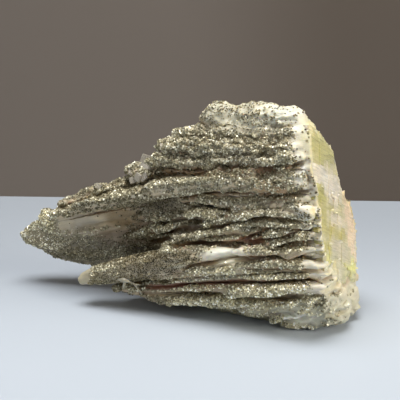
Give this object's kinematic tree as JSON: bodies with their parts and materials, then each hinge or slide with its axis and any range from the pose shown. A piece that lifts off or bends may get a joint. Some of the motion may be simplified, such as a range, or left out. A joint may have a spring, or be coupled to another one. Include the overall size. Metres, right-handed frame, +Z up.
{
  "type": "barite specimen",
  "caption": "Barite hand specimen: a dipping stack of thin crystals, ridged in front, tapering to a horn, with one broken cleavage face and a metallic crust.",
  "frame": {"origin": "on the ground, under the middle of the bounding box", "axes": "+X along the crystals towards the broken face, +Y towards the back, +Z up"},
  "size_m": [0.1164, 0.0414, 0.07],
  "materials": {
    "barite": "translucent cream to pale yellow barite, satin, pinkish brown in the grooves",
    "crust": "fine metallic brassy grey sulphide crystals",
    "growth": "pale matt thread-like growths"
  },
  "bodies": {
    "root": {"barite_mass": "barite"}
  },
  "joints": []
}
